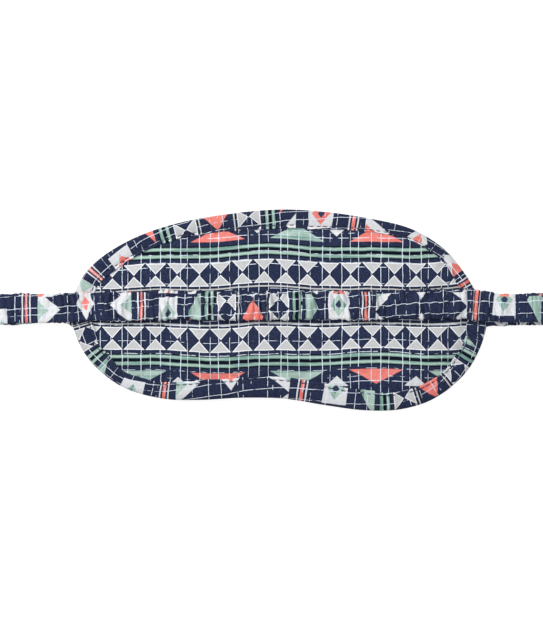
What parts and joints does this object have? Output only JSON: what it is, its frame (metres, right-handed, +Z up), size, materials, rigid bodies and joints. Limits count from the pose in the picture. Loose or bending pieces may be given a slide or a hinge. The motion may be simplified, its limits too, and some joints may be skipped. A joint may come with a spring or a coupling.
{
  "type": "sleep mask",
  "caption": "Padded cloth sleep mask with a bound edge, a shallow nose dip and an elastic strap in a gathered cloth casing, lying on its front face with the strap folded across the back.",
  "frame": {"origin": "bottom centre of the box around the mask and its folded strap, on the surface that the front face rests on", "axes": "+X along the strap, to the right when the wearer's side is seen with the forehead edge at the top; +Y to the forehead edge; +Z up, out of the wearer's side"},
  "size_m": [0.266, 0.0968, 0.0091],
  "materials": {
    "printed_cotton": "plain-woven cotton, navy ground with a printed geometric pattern in mint, coral, light grey and white, matt",
    "lining_cloth": "closely woven black lining, matt",
    "wadding": "soft white polyester wadding",
    "elastic": "white braided elastic, matt, ribbed along its length",
    "thread": "navy polyester sewing thread, twisted, slight sheen"
  },
  "bodies": {
    "mask": {"front_panel": "printed_cotton", "blackout_lining": "lining_cloth", "padding": "wadding", "back_panel": "printed_cotton", "edge_binding": "printed_cotton", "topstitch_back": "thread", "topstitch_front": "thread", "strap_tack_left": "thread", "strap_tack_right": "thread"},
    "strap": {"strap_casing": "printed_cotton", "elastic_band": "elastic"}
  },
  "joints": [
    {"name": "strap_pull", "type": "slide", "parent": "mask", "child": "strap", "axis": [0, 0, 1], "range_m": [0, 0.15], "stiffness_N_per_m": 20, "deforming": ["strap_casing", "elastic_band"]}
  ]
}
